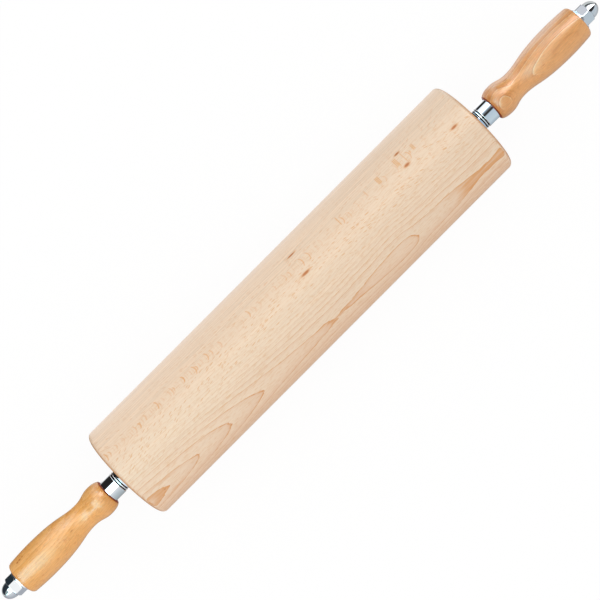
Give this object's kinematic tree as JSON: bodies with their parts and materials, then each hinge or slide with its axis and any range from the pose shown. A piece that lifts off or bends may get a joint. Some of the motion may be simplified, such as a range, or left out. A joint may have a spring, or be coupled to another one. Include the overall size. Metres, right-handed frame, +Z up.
{
  "type": "rolling pin",
  "caption": "Baker's rolling pin: a thick beech barrel that turns on ball bearings between two fixed, turned and lacquered handles with chromed ferrules and domed cap nuts.",
  "frame": {"origin": "on the axle's axis at the middle of the barrel", "axes": "+X along the axle towards the right handle, +Z up, away from the table that the barrel lies on"},
  "size_m": [0.68, 0.0886, 0.0886],
  "materials": {
    "barrel_beech": "sanded, oiled satin",
    "handle_beech": "clear gloss lacquer",
    "chrome": "polished chrome plate",
    "bearing_steel": "ground, lightly greased"
  },
  "bodies": {
    "axle_and_handles": {"axle": "bearing_steel", "bearing_cone_left": "bearing_steel", "bearing_cone_right": "bearing_steel", "lock_ring_left": "chrome", "lock_ring_right": "chrome", "ferrule_left": "chrome", "ferrule_right": "chrome", "handle_left": "handle_beech", "handle_right": "handle_beech", "washer_left": "chrome", "washer_right": "chrome", "cap_nut_left": "chrome", "cap_nut_right": "chrome"},
    "barrel": {"barrel": "barrel_beech", "bearing_cup_left": "bearing_steel", "bearing_cup_right": "bearing_steel", "dust_cap_left": "chrome", "dust_cap_right": "chrome"},
    "balls_left": {"ball_cage_left": "bearing_steel", "ball_left_1": "bearing_steel", "ball_left_2": "bearing_steel", "ball_left_3": "bearing_steel", "ball_left_4": "bearing_steel", "ball_left_5": "bearing_steel", "ball_left_6": "bearing_steel", "ball_left_7": "bearing_steel", "ball_left_8": "bearing_steel"},
    "balls_right": {"ball_cage_right": "bearing_steel", "ball_right_1": "bearing_steel", "ball_right_2": "bearing_steel", "ball_right_3": "bearing_steel", "ball_right_4": "bearing_steel", "ball_right_5": "bearing_steel", "ball_right_6": "bearing_steel", "ball_right_7": "bearing_steel", "ball_right_8": "bearing_steel"}
  },
  "joints": [
    {"name": "barrel_spin", "type": "hinge", "parent": "axle_and_handles", "child": "barrel", "pos_m": [0, 0, 0], "axis": [1, 0, 0], "continuous": true},
    {"name": "balls_orbit_left", "type": "hinge", "parent": "axle_and_handles", "child": "balls_left", "pos_m": [-0.1935, 0, 0], "axis": [1, 0, 0], "continuous": true},
    {"name": "balls_orbit_right", "type": "hinge", "parent": "axle_and_handles", "child": "balls_right", "pos_m": [0.1935, 0, 0], "axis": [1, 0, 0], "continuous": true}
  ],
  "couplings": [
    {"joint": "balls_orbit_left", "follows": "barrel_spin", "ratio": 0.593},
    {"joint": "balls_orbit_right", "follows": "barrel_spin", "ratio": 0.593}
  ]
}
